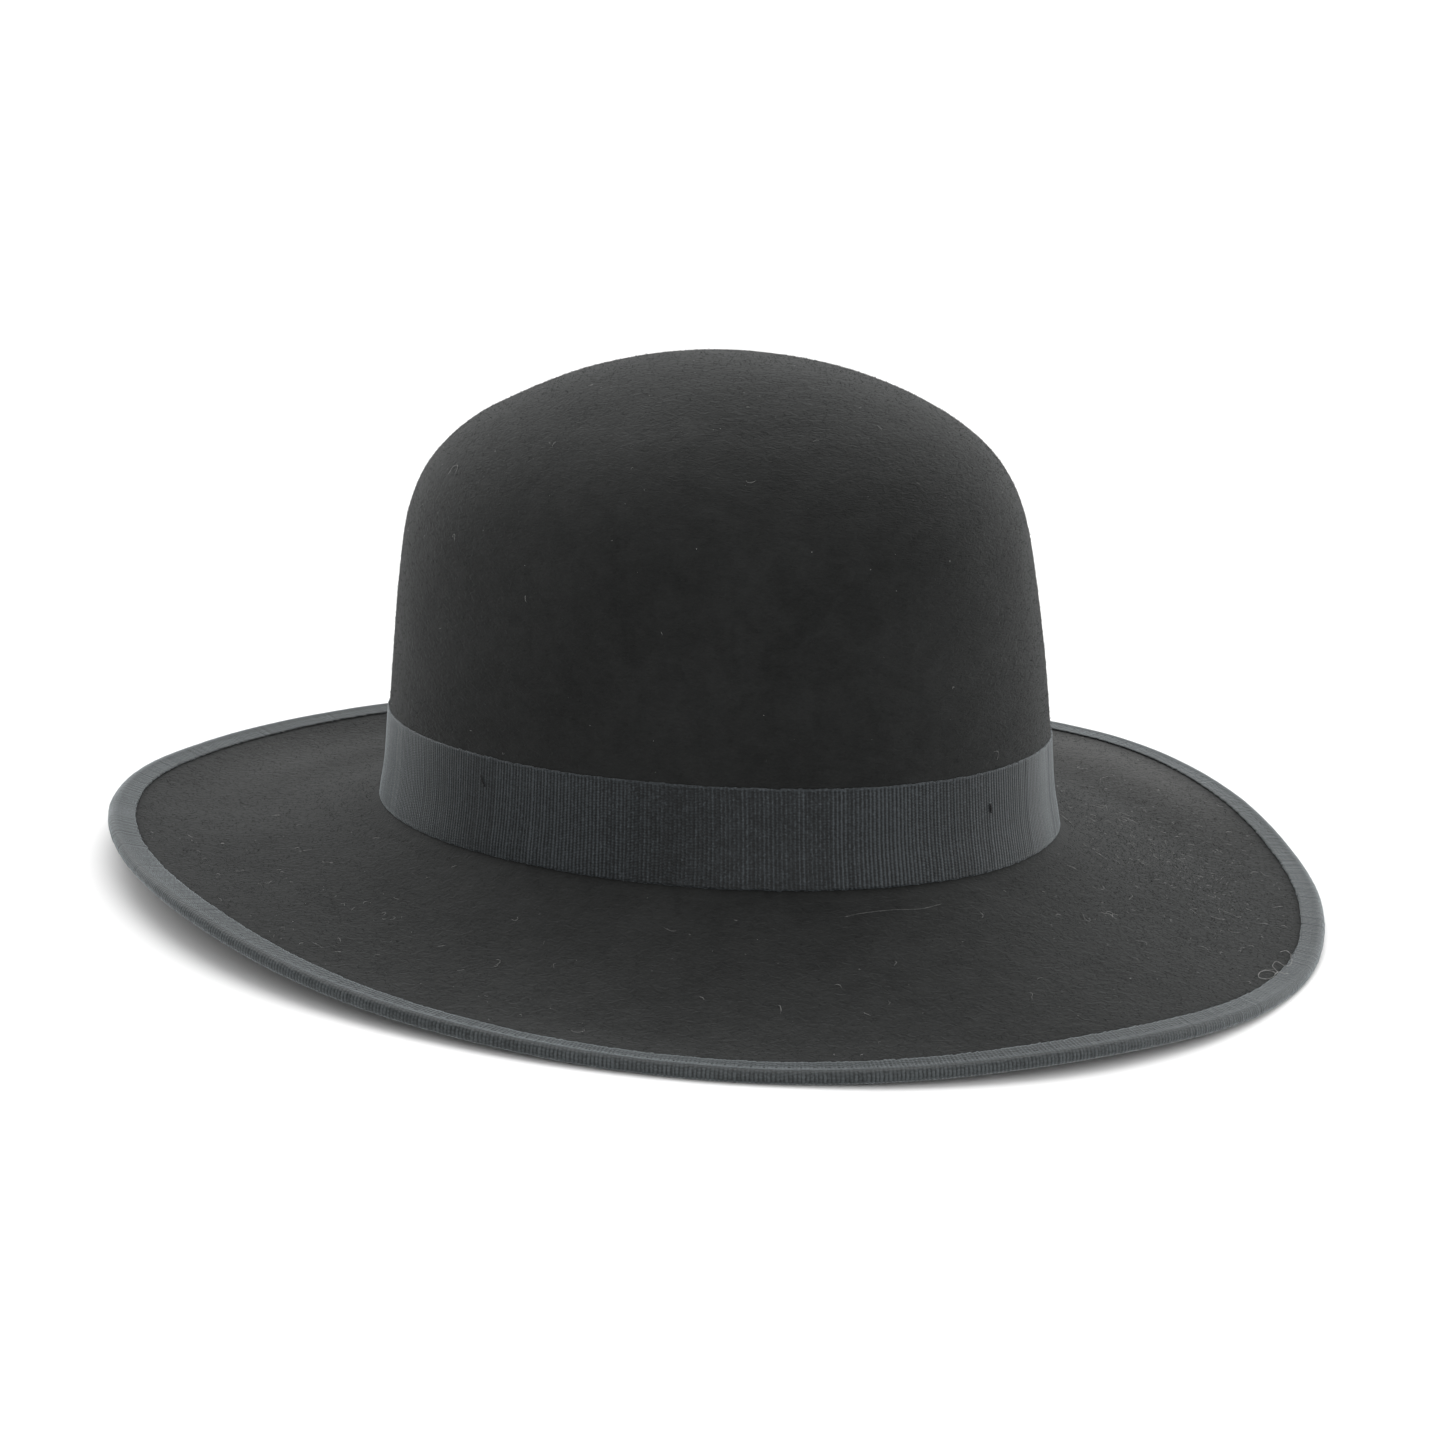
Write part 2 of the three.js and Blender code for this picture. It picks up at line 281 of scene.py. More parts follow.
class Brim:
    """The brim's sections at an array of angles."""

    def __init__(self, t):
        self.t = t
        self.falls = falls(self.t)
        out = np.stack([np.cos(self.t) / HALF_WIDTH, np.sin(self.t) / HALF_LENGTH], -1)
        self.outward = out / np.linalg.norm(out, axis=-1, keepdims=True)
        self.start = wall_point(self.t, 0.0, 0.0, swollen=False) - [0, 0, BRIM_DROP]
        mid = (np.arange(BRIM_CELLS) + 0.5) / BRIM_CELLS
        slope = self.slope(mid[None, :], wide=True)
        zero = np.zeros((len(self.t), 1))
        self.out = np.hstack([zero, np.cumsum(np.cos(slope), 1) * BRIM_CELL])
        self.drop = np.hstack([zero, np.cumsum(np.sin(slope), 1) * BRIM_CELL])

    def slope(self, k, wide=False):
        """The fall at shares k of the width: a share for each angle or, if wide, all of them."""
        a, h, e = (fall[:, None] if wide else fall for fall in self.falls.T)
        return a * (1 - k) * (1 - 2 * k) + h * 4 * k * (1 - k) + e * k * (2 * k - 1)

    def point(self, distance, depth):
        """Points at a distance from the ribbon and a depth under the upper surface."""
        distance = np.broadcast_to(distance, self.t.shape)
        depth = depth - patches(BRIM_WAVES, self.t, distance)
        place = np.clip(distance / BRIM_CELL, 0, BRIM_CELLS - 1e-6)
        i = np.floor(place).astype(int)
        f = place - i
        n = np.arange(len(self.t))
        over = distance - np.clip(distance, 0, BRIM_WIDTH)
        slope = self.slope(distance / BRIM_WIDTH)
        out, drop = (x[n, i] * (1 - f) + x[n, i + 1] * f for x in (self.out, self.drop))
        out = out + over * np.cos(slope) - depth * np.sin(slope)
        drop = drop + over * np.sin(slope) + depth * np.cos(slope)
        flat = self.start[:, :2] + self.outward * out[:, None]
        return np.column_stack([flat, self.start[:, 2] - drop])


DRIFT_WAVES = 14
DRIFT_LENGTHS = (16, 60)  # shortest and longest wave
DRIFT_PUSH = 0.035  # spread of a wave's height


def uneven(points):
    """Points moved by a slow drift of the whole hat's surface, the same for all its pieces."""
    rng = draws("drift")
    moved = np.zeros_like(points)
    for _ in range(DRIFT_WAVES):
        direction = rng.normal(size=3)
        wave = TURN / rng.uniform(*DRIFT_LENGTHS) * direction / np.linalg.norm(direction)
        push = rng.normal(size=3) * DRIFT_PUSH
        moved += np.sin(points @ wave + rng.uniform(0, TURN))[..., None] * push
    return points + moved


REST_TURN = np.array(Matrix.Rotation(REST_ROLL, 3, "Y") @ Matrix.Rotation(REST_PITCH, 3, "X"))


def laid_down(points):
    """Points of the hat's own frame, in mm, as the hat rests on its brim, in metres."""
    world = uneven(points) @ REST_TURN.T + REST_SHIFT
    world[..., 2] = np.maximum(world[..., 2], 0.0)
    return world * MM


# Meshes
def add_object(name, data):
    obj = bpy.data.objects.new(name, data)
    bpy.context.scene.collection.objects.link(obj)
    return obj


def add_mesh(name, vertices, faces, values=None):
    """A smooth mesh, whose values are numbers for each vertex."""
    mesh = bpy.data.meshes.new(name)
    mesh.from_pydata(np.asarray(vertices).tolist(), [], faces)
    for key, value in (values or {}).items():
        layer = mesh.attributes.new(key, "FLOAT", "POINT")
        layer.data.foreach_set("value", np.asarray(value, np.float32).ravel())
    mesh.shade_smooth()
    return add_object(name, mesh)


def signed_volume(p, faces):
    """The volume inside triangles and quads of points, below zero if they face inwards."""
    six_times = 0.0
    for size in (3, 4):
        f = np.array([x for x in faces if len(x) == size])
        if len(f):
            for k in range(1, size - 1):
                a, b, c = p[f[:, 0]], p[f[:, k]], p[f[:, k + 1]]
                six_times += float(np.einsum("ij,ij->", a, np.cross(b, c)))
    return six_times / 6


def grid_faces(rows, columns, poles, open_columns):
    """Faces of a closed grid. With poles, the first and last rows are one vertex each."""
    def vertex(r, c):
        if not poles:
            return (r % rows) * columns + c % columns
        if r == 0:
            return 0
        return 1 + (r - 1) * columns + (c % columns if r < rows - 1 else 0)

    faces = []
    last_row = rows - 1 if poles else rows
    last_column = columns - 1 if open_columns else columns
    for r in range(last_row):
        for c in range(last_column):
            f = [vertex(r, c), vertex(r + 1, c), vertex(r + 1, c + 1), vertex(r, c + 1)]
            if poles and r == 0:
                f = f[:3]
            elif poles and r == rows - 2:
                f = [f[0], f[1], f[3]]
            faces.append(f)
    if open_columns:
        faces.append([vertex(r, 0) for r in reversed(range(rows))])
        faces.append([vertex(r, columns - 1) for r in range(rows)])
    return faces


def grid_mesh(name, rows, poles, open_columns, values):
    """A closed mesh from rows of points that run round the hat, and its vertices in metres."""
    faces = grid_faces(len(rows), len(rows[0]), poles, open_columns)
    if poles:
        rows = [rows[0][:1], *rows[1:-1], rows[-1][:1]]
    world = laid_down(np.vstack(rows))
    if signed_volume(world, [f for f in faces if len(f) < 5]) < 0:
        faces = [f[::-1] for f in faces]
    return add_mesh(name, world, faces, values), world


def ribbon_mesh(name, rows, along, up, rib, open_columns=False):
    """A ribbon's mesh, with what ribbon_material() reads. up has a value for each row."""
    values = {"along": [along] * len(rows), "up": np.repeat(up, len(along)), "rib": rib}
    return grid_mesh(name, rows, False, open_columns, values)[0]


# Materials
def new_material(name):
    material = bpy.data.materials.new(name)
    material.use_nodes = True
    tree = material.node_tree
    shader = next(n for n in tree.nodes if n.type == "BSDF_PRINCIPLED")
    return material, tree, shader


def node(tree, kind, inputs=None, **settings):
    """A new node. Its inputs are numbers, colours or the sockets they are linked from."""
    made = tree.nodes.new(kind)
    for key, value in settings.items():
        setattr(made, key, value)
    for key, value in (inputs or {}).items():
        socket = made.inputs[key]
        if isinstance(value, bpy.types.NodeSocket):
            tree.links.new(value, socket)
        else:
            socket.default_value = value
    return made


def maths(tree, operation, *values, clamp=False):
    inputs = dict(enumerate(values))
    return node(tree, "ShaderNodeMath", inputs, operation=operation, use_clamp=clamp).outputs[0]


def product(tree, a, b):
    return maths(tree, "MULTIPLY", a, b)


def total(tree, first, *others):
    for value in others:
        first = maths(tree, "ADD", first, value)
    return first


def attribute(tree, name):
    return node(tree, "ShaderNodeAttribute", attribute_name=name).outputs["Fac"]


def object_place(tree):
    return node(tree, "ShaderNodeTexCoord").outputs["Object"]


def noise(tree, place, size_mm, detail, roughness, distortion=0.0):
    """Noise whose features are about size_mm across, from object coordinates in metres."""
    inputs = {
        "Vector": place, "Scale": 1000.0 / size_mm, "Detail": detail, "Roughness": roughness,
        "Distortion": distortion,
    }
    return node(tree, "ShaderNodeTexNoise", inputs).outputs["Fac"]


def spread(tree, value, low, high, to_low, to_high):
    """A value's range from low to high, stretched to another and cut off at its ends."""
    ends = {"From Min": low, "From Max": high, "To Min": to_low, "To Max": to_high}
    return node(tree, "ShaderNodeMapRange", {"Value": value, **ends}).outputs["Result"]


def tinted(tree, dark, light, factor):
    """A mix of two colours, each a triple or a socket."""
    dark, light = ((*c, 1) if isinstance(c, tuple) else c for c in (dark, light))
    inputs = {"A": dark, "B": light, "Factor": factor}
    return node(tree, "ShaderNodeMix", inputs, data_type="RGBA").outputs["Result"]


def set_surface(tree, shader, colour, values):
    """Link the colour, and set what is even all over on the shader's own sockets."""
    tree.links.new(colour, shader.inputs["Base Color"])
    for key, value in values.items():
        shader.inputs[key].default_value = value


def add_bump(tree, shader, height, strength, distance):
    inputs = {"Strength": strength, "Distance": distance, "Height": height}
    bump = node(tree, "ShaderNodeBump", inputs)
    tree.links.new(bump.outputs["Normal"], shader.inputs["Normal"])


def felt_material():
    """Felt, mottled and streaked, with small tufts, and patches of painted sheen in a lighter
    grey.
    """
    material, tree, shader = new_material("felt")
    place = object_place(tree)
    stretched = node(
        tree, "ShaderNodeMapping", {"Vector": place, "Scale": (0.6, 0.6, 1.7)}
    ).outputs["Vector"]
    strands = noise(tree, stretched, 0.9, 4, 0.72, 1.8)
    tufts = noise(tree, stretched, 1.6, 2, 0.6, 1.2)
    mottle = total(
        tree,
        spread(tree, noise(tree, place, 45, 2, 0.55), 0.3, 0.7, -0.22, 0.22),
        spread(tree, noise(tree, place, 7, 3, 0.6, 0.6), 0.3, 0.7, -0.2, 0.2),
    )
    fine = total(
        tree,
        spread(tree, strands, 0.3, 0.72, -0.3, 0.38),
        spread(tree, noise(tree, place, 0.35, 2, 0.7), 0.25, 0.75, -0.14, 0.16),
    )
    tone = maths(tree, "ADD", total(tree, mottle, fine), 0.42, clamp=True)
    streaks = spread(tree, strands, 0.3, 0.7, 0.5, 1.2)
    # Painted sheen: the colour lightens towards a grey on the brim's patches, in streaks
    painted_sheen = product(tree, attribute(tree, "painted_sheen"), streaks)
    colour = tinted(tree, tinted(tree, FELT_DARK, FELT_LIGHT, tone), PAINTED_SHEEN_GREY, painted_sheen)
    set_surface(tree, shader, colour, {
        "Roughness": 0.92, "Specular IOR Level": 0.18, "Sheen Weight": 0.14,
        "Sheen Roughness": 0.46, "Sheen Tint": (0.62, 0.64, 0.64, 1),
    })
    height = total(tree, tufts, product(tree, strands, 0.25))
    add_bump(tree, shader, height, 1.0, 0.00028)
    return material


def ribbon_material(name, pitch, valley, crest, sharpness, gloss, sheen, sheen_spread):
    """Corded ribbon. "along" and "up" are places on it in mm, and "rib" is 1 on a rib's crest."""
    material, tree, shader = new_material(name)
    place = object_place(tree)
    rib = attribute(tree, "rib")
    # The threads round each rib start at a place of their own
    number = maths(tree, "FLOOR", maths(tree, "DIVIDE", attribute(tree, "along"), pitch))
    shift = node(
        tree, "ShaderNodeTexWhiteNoise", {"W": number}, noise_dimensions="1D"
    ).outputs["Value"]
    turns = total(tree, maths(tree, "DIVIDE", attribute(tree, "up"), THREAD_PITCH), shift)
    wave = maths(tree, "SINE", product(tree, turns, TURN))
    threads = spread(tree, wave, -1, 1, 0, 1)
    worn = noise(tree, place, 3.2, 3, 0.6, 0.4)
    slubs = noise(tree, place, 0.7, 3, 0.65, 0.3)
    # Painted glints: bright flecks added to the colour of the ribs' crests
    painted_glints = spread(tree, noise(tree, place, 0.6, 1, 0.5), 0.57, 0.7, 0, 0.9)
    twist = product(tree, threads, rib)
    # The colour darkens to the valley colour between the ribs: painted shade
    tone = total(
        tree,
        product(tree, maths(tree, "POWER", rib, sharpness), 0.74),
        product(tree, twist, 0.32),
        product(tree, painted_glints, rib),
        spread(tree, worn, 0.3, 0.7, -0.06, 0.1),
        spread(tree, slubs, 0.3, 0.7, -0.26, 0.32),
    )
    tone = maths(tree, "MINIMUM", maths(tree, "MAXIMUM", tone, 0.0), 1.4)
    set_surface(tree, shader, tinted(tree, valley, crest, tone), {
        "Specular IOR Level": gloss, "Sheen Weight": sheen, "Sheen Roughness": sheen_spread,
        "Sheen Tint": (0.80, 0.88, 0.91, 1),
    })
    tree.links.new(spread(tree, slubs, 0.3, 0.7, 0.42, 0.6), shader.inputs["Roughness"])
    height = total(tree, product(tree, threads, 0.5), product(tree, slubs, 0.9))
    add_bump(tree, shader, height, 0.6, 0.00012)
    return material


def plain_material(name, dark, light, size_mm, roughness, sheen=0.0):
    """A mottle of two colours, without relief."""
    material, tree, shader = new_material(name)
    factor = spread(tree, noise(tree, object_place(tree), size_mm, 3, 0.6), 0.35, 0.65, 0, 1)
    set_surface(tree, shader, tinted(tree, dark, light, factor), {
        "Roughness": roughness, "Specular IOR Level": 0.2, "Sheen Weight": sheen,
        "Sheen Roughness": 0.5,
    })
    return material


# Felt
FELT_COLUMNS = 372
ROW_STEP = 2.2  # between the rows of the crown's wall
SINK = 0.12  # how far the ribbon's upper edge presses the felt in
SINK_HEIGHT = 2.6  # and how far up from it
FELT_END = 73.7  # from the ribbon to the middle of the felt's rounded end
BRIM_PLACES = np.linspace(3.0, 69.0, 56)  # rows of the open brim, from the ribbon
CORNER_ROWS = 7
LINT_FROM, LINT_RISE = 95, 35  # the crown's lint grows denser above one, over the other


def felt_outside(t):
    """Rows of the felt's outer face, from the crown's pole to the brim's rounded end.

    With them, how many rows there are to the ribbon's upper edge, and to the binding.
    """
    brim = Brim(t)
    rows = dome_rows(t, RIBBON_STEP, 24, 30)
    heights = np.arange(WALL_TOP - ROW_STEP, RIBBON_WIDTH + 3.0, -ROW_STEP)
    rows += [wall_point(t, height, RIBBON_STEP) for height in heights]
    for height in (27.2, 26.3, 25.6, 25.0):
        sunk = SINK * (RIBBON_WIDTH + SINK_HEIGHT - height) / SINK_HEIGHT
        rows.append(wall_point(t, height, RIBBON_STEP - sunk))
    crown_end = len(rows)
    rows += [wall_point(t, height, RIBBON_STEP) for height in (23.8, 18, 12, 8, 5, 3)]
    foot = brim.point(BRIM_PLACES[0], felt_depth(BRIM_PLACES[0]))
    rows += corner(wall_point(t, 1.1, RIBBON_STEP), foot, brim.falls[:, 0])
    rows += [brim.point(d, felt_depth(d)) for d in BRIM_PLACES]
    brim_end = len(rows)
    rows += [brim.point(d, felt_depth(d)) for d in np.linspace(69.6, FELT_END, 6)]
    for i in range(1, 8):
        a = math.pi / 2 - math.pi * i / 8
        out, up = FELT / 2 * math.cos(a), FELT / 2 * math.sin(a)
        rows.append(brim.point(FELT_END + out, BOUND_EDGE / 2 - up))
    return rows, crown_end, brim_end


def felt_depth(distance):
    """Depth of the felt's upper face under the brim's reference surface."""
    sunk = (BOUND_EDGE - FELT) / 2 * distance / BRIM_WIDTH
    return sunk - FOOT_FILL * math.exp(-((distance / FOOT_FILL_REACH) ** 2))


def corner(wall, foot, slope):
    """Rows of the rounded corner between the crown's wall and the brim."""
    across = np.hypot(foot[:, 0] - wall[:, 0], foot[:, 1] - wall[:, 1])
    middle = np.column_stack([wall[:, :2], foot[:, 2] + across * np.tan(slope)])
    rows = []
    for i in range(CORNER_ROWS):
        f = i / CORNER_ROWS
        rows.append(wall * (1 - f) ** 2 + middle * 2 * f * (1 - f) + foot * f**2)
    return rows


def felt_inside(t):
    """Rows of the felt's inner face, from the brim's edge to the pole inside the crown."""
    brim = Brim(t)
    rows = []
    for d in np.linspace(FELT_END, 3.4, 46):
        rows.append(brim.point(d, (BOUND_EDGE - FELT) / 2 * d / BRIM_WIDTH + FELT))
    inset = RIBBON_STEP + FELT
    rows += corner(wall_point(t, 4.0, inset), brim.point(3.2, FELT), brim.falls[:, 0])[::-1]
    rows += [wall_point(t, height, inset) for height in np.arange(7.0, WALL_TOP - 1.0, 3.4)]
    return rows + dome_rows(t, inset, 16, 18)[::-1]


def make_felt():
    """The felt, and the parts of its outer face that nap and lint lie on."""
    t = np.linspace(0, TURN, FELT_COLUMNS, endpoint=False)
    outside, crown_end, brim_end = felt_outside(t)
    brim_start = brim_end - len(BRIM_PLACES)
    rows = outside + felt_inside(t)
    painted_sheen = np.zeros((len(rows), FELT_COLUMNS))
    # Painted sheen on the open brim's patches
    painted_sheen[brim_start:brim_end] = [patches(PAINTED_SHEEN_PATCHES, t, d) for d in BRIM_PLACES]
    painted_sheen = np.concatenate([painted_sheen[0, :1], painted_sheen[1:-1].ravel(), painted_sheen[-1, :1]])
    obj, world = grid_mesh("felt", rows, True, False, {"painted_sheen": painted_sheen})
    skin = world[1:-1].reshape(-1, FELT_COLUMNS, 3)  # without the poles
    on_crown = skin[:crown_end - 1]
    on_brim = skin[brim_start - 1:brim_end - 1]
    high = np.clip((on_crown[:-1, :, 2] / MM - LINT_FROM) / LINT_RISE, 0, 1)
    fluff = np.array([patches(FLUFF, t, d) for d in BRIM_PLACES[:-1]])
    skins = {
        "crown nap": Skin(on_crown), "brim nap": Skin(on_brim, 0.55 + fluff),
        "crown lint": Skin(on_crown, 0.3 + 0.7 * high), "brim lint": Skin(on_brim, fluff),
    }
    return obj, skins


# Ribbons
def even_angles(points_at, count, start):
    """Angles that cut a line round the hat evenly, how far round it they are, and its length."""
    t = start + np.linspace(0, TURN, 4001)
    steps = np.linalg.norm(np.diff(points_at(t), axis=0), axis=1)
    length = np.concatenate([[0], np.cumsum(steps)])
    places = np.arange(count) / count * length[-1]
    return np.interp(places, length, t), places, length[-1]


def smooth_random(rng, count, width):
    """A periodic random curve, about -1 to 1, that changes over `width` samples."""
    values = rng.normal(size=count)
    kernel = np.exp(-0.5 * (np.arange(-3 * width, 3 * width + 1) / width) ** 2)
    padded = np.concatenate([values[-3 * width:], values, values[: 3 * width]])
    curve = np.convolve(padded, kernel, "valid")
    return curve / (np.abs(curve).max() + 1e-9)


# Height of the columns of one rib, as shares of the rib's
RIB_SHAPE = np.array([1.0, 0.5, 0.0, 0.5])
EDGE_RIB_SHAPE = np.array([0.0, 0.92, 0.92])  # broad ribs with narrow slits
COLUMNS_PER_RIB = len(RIB_SHAPE)
RIBBON_RADIUS = 95.2  # mean radius, which sets the number of ribs
RIB_HEIGHT = 0.19
EDGE_RIB_HEIGHT = 0.26
VALLEY = 0.13  # inset of the crown ribbon's valleys
BINDING_ROW = 0.6  # "up" from one row of the binding to the next


class Ribs:
    """Irregular ribs of a ribbon round the hat: how they stand out, are shifted and lean."""

    def __init__(self, name, count, pitch, shape, change=0.0):
        rng = draws(name)
        columns = len(shape)
        self.shape = np.tile(shape, count)
        self.jitter = np.repeat(rng.normal(size=count) * 0.05, columns) * pitch
        fullness = 0.8 + 0.25 * smooth_random(rng, count, 5) + rng.normal(size=count) * 0.12
        fullness = np.repeat(fullness, columns) + change
        self.fullness = np.clip(fullness, 0.3, 1.3)
        self.lean = np.repeat(smooth_random(rng, count, 9), columns)
        self.slow = smooth_random(rng, count * columns, 60)


def ribbon_line(t):
    """The line round the crown that the ribbon's ribs are spaced along."""
    return wall_point(t, 10.0, 0.0)


def make_crown_ribbon():
    count = round(TURN * RIBBON_RADIUS / RIB_PITCH)
    t0, places, length = even_angles(ribbon_line, count * COLUMNS_PER_RIB, RIBBON_SEAM[0])
    pitch = length / count
    ribs = Ribs("ribbon ribs", count, pitch, RIB_SHAPE, changes(RIB_CHANGE, t0) - 0.08)
    per_mm = (t0[1] - t0[0]) / (places[1] - places[0])
    top = RIBBON_WIDTH * math.cos(WALL_LEAN)
    face = (1.4, 3, 5, 7.5, 10, 12.5, 15, 17.5, 20, 22, 23.6)
    # Each row: height, inset of a valley, share of the rib's height
    section = [
        (0.35, RIBBON_INNER, 0), (0.0, 0.34, 0.1), (-0.06, 0.22, 0.25), (0.0, 0.08, 0.55),
        (0.3, 0.02, 0.8), (0.7, 0.1, 0.8), *((height, VALLEY, 1) for height in face),
        (top - 0.7, 0.1, 0.8), (top - 0.3, 0.02, 0.8), (top, 0.08, 0.55),
        (top + 0.06, 0.22, 0.25), (top, 0.34, 0.1), (top - 0.35, RIBBON_INNER, 0),
        (16, RIBBON_INNER, 0), (8, RIBBON_INNER, 0),
    ]
    rng = draws("ribbon")
    loops = np.repeat(rng.normal(size=count), COLUMNS_PER_RIB) * 0.07
    wander = 0.1 * smooth_random(rng, len(t0), 160)
    rows, rib = [], []
    for height, valley, share in section:
        k = height / RIBBON_WIDTH
        sideways = ribs.jitter + ribs.lean * 0.02 * math.sin(3.1 * k + 0.5) * pitch
        sideways = sideways + 0.04 * ribs.slow * k
        t = t0 + sideways * per_mm * (share > 0)
        edge = loops if share and (k < 0.02 or k > 0.98) else 0.0
        high = height + wander * k + edge
        ripple = 0.008 * np.repeat(rng.normal(size=count), COLUMNS_PER_RIB) * share
        inset = valley - share * RIB_HEIGHT * ribs.shape * ribs.fullness + ripple
        rows.append(wall_point(t, high, inset))
        # Painted tone: crests lighter than valleys, painted shade between the ribs; the rounded
        # top and bottom edges are painted lighter, a painted highlight
        light = ribs.shape * min(1, share * 1.2) * np.clip(ribs.fullness, 0, 1.15)
        if share and (height < 0.2 or height > top - 0.5):
            light = 0.62 + 0.3 * light
        rib.append(light)
    return ribbon_mesh("ribbon", rows, places, [row[0] for row in section], rib)


def binding_section():
    """(distance, depth, outward distance, outward depth, share of the rib's height) by row."""
    turn = BRIM_WIDTH - BOUND_EDGE / 2
    leg_end = BRIM_WIDTH - BINDING_REACH
    rows = []
    for d, lift, share in (
        (0.02, 0.42, 0.0), (-0.05, 0.25, 0.3), (0.03, 0.08, 0.5), (0.3, 0.03, 0.6),
        (0.8, 0.05, 0.6), (1.6, 0.05, 0.6), (2.6, 0.06, 0.55), (3.0, 0.08, 0.5),
        (3.3, 0.08, 0.5), (3.7, 0.05, 0.55), (4.2, 0.02, 0.6),
    ):
        rows.append((leg_end + d, lift, 0.0, -1.0, share))
    half = BOUND_EDGE / 2
    for i in range(9):
        a = math.pi / 2 - math.pi * i / 8
        out, up = math.cos(a), math.sin(a)
        open_share = min(1.0, max(0.3, 0.3 + 0.7 * (60 - math.degrees(a)) / 45))
        rows.append((turn + half * out, half - half * up, out, -up, open_share))
    for d, lift, share in (
        (3.6, 0.06, 0.6), (0.3, 0.03, 0.6), (-0.05, 0.25, 0.3), (0.02, 0.42, 0.0),
    ):
        rows.append((leg_end + d, BOUND_EDGE - lift, 0.0, 1.0, share))
    inner = half - BINDING
    rows.append((leg_end + 0.4, half + inner, 0.0, 1.0, 0.0))
    for i in range(3):
        a = -math.pi / 2 + math.pi * i / 2
        rows.append((turn + inner * math.cos(a), half - inner * math.sin(a), 0.0, 0.0, 0.0))
    rows.append((leg_end + 0.4, half - inner, 0.0, -1.0, 0.0))
    return rows


def brim_line(distance, depth):
    """A line round the brim, as a function from angles to points."""
    return lambda t: Brim(t).point(distance, depth)


def make_binding():
    rim = brim_line(BRIM_WIDTH, BOUND_EDGE / 2)
    count = round(even_angles(rim, 1, 0.0)[2] / EDGE_RIB_PITCH)
    columns = len(EDGE_RIB_SHAPE)
    t0, places, length = even_angles(rim, count * columns, BINDING_SEAM[0])
    pitch = length / count
    ribs = Ribs("binding ribs", count, pitch, EDGE_RIB_SHAPE)
    per_mm = TURN / length
    rng = draws("binding")
    wavy = 0.16 * smooth_random(rng, len(t0), 45) + 0.1 * smooth_random(rng, len(t0), 160)
    wavy = wavy + changes(REACH_CHANGE, t0)
    nibs = np.repeat(rng.normal(size=count), columns) * 0.13
    rows, rib = [], []
    for i, (distance, depth, out, down, share) in enumerate(binding_section()):
        k = (BRIM_WIDTH - distance) / BINDING_REACH
        sideways = (ribs.jitter + ribs.lean * 0.9 * k * pitch) * (share > 0)
        brim = Brim(t0 + sideways * per_mm)
        lift = share * EDGE_RIB_HEIGHT * (ribs.shape * ribs.fullness - 0.6)
        near_edge = max(0.0, k - 0.45)
        inward = (wavy + nibs) * near_edge / 0.55 if share else wavy * near_edge
        rows.append(brim.point(distance + out * lift - inward, depth + down * lift))
        # Painted shade: the slits round the edge are painted darker, and so are the first rows
        # along the inner edge, where the binding meets the felt
        slits = min(1.0, max(0.0, (share - 0.45) / 0.4))
        even = (0.12 + 0.42 * ribs.shape) * (0.75 if i < 4 else 1.0)
        rounded = np.clip(0.04 + 1.15 * ribs.shape * np.clip(ribs.fullness, 0.4, 1), 0, 1)
        rib.append((even * (1 - slits) + rounded * slits) * (share > 0))
    return ribbon_mesh("binding", rows, places, BINDING_ROW * np.arange(len(rows)), rib)


# Laps where the ribbons' ends meet, on the hidden side
LAP_LENGTH = 11.0
LAP_START = 4.0  # before the seam
LAP_RAMP = 7.0
LAP_LIFT = 0.5


def lap_lift(along):
    """How far a lap stands out: it rises gently and ends in a rounded fold."""
    rise = np.clip(along / LAP_RAMP, 0, 1)
    rise = rise * rise * (3 - 2 * rise)
    end = np.sqrt(np.clip((LAP_LENGTH - along) / 0.4, 0, 1))
    return 0.06 + LAP_LIFT * rise * (0.35 + 0.65 * end)


def lap_columns(seam, radius, pitch):
    """Angles of a lap's columns, how far along it they are, and their share of a rib."""
    step = pitch / COLUMNS_PER_RIB
    along = np.arange(0, LAP_LENGTH + step / 2, step)
    per_mm = 1 / radius
    return seam - LAP_START * per_mm + along * per_mm, along, np.resize(RIB_SHAPE, len(along))


def make_ribbon_lap():
    t, along, shape = lap_columns(*RIBBON_SEAM, RIB_PITCH)
    top = RIBBON_WIDTH * math.cos(WALL_LEAN)
    heights = [0.25, 0.0, 0.1, 0.6, 1.5, 4, 7, 10, 13, 16, 19, 22, 23.5]
    heights += [top - 0.6, top - 0.1, top]
    lifts = [0.1, 0.4, 0.85] + [1] * 11 + [0.85, 0.4]
    rows, rib = [], []
    for height, lift in zip(heights, lifts):
        inset = 0.05 - lap_lift(along) * lift - VALLEY * shape * lift
        rows.append(wall_point(t, height, inset))
        rib.append(shape)
    inner = [top - 0.3, 16, 8]
    for height in inner:
        rows.append(wall_point(t, height, np.full(len(t), -0.05)))
        rib.append(shape * 0)
    return ribbon_mesh("ribbon_lap", rows, along, heights + inner, rib, open_columns=True)


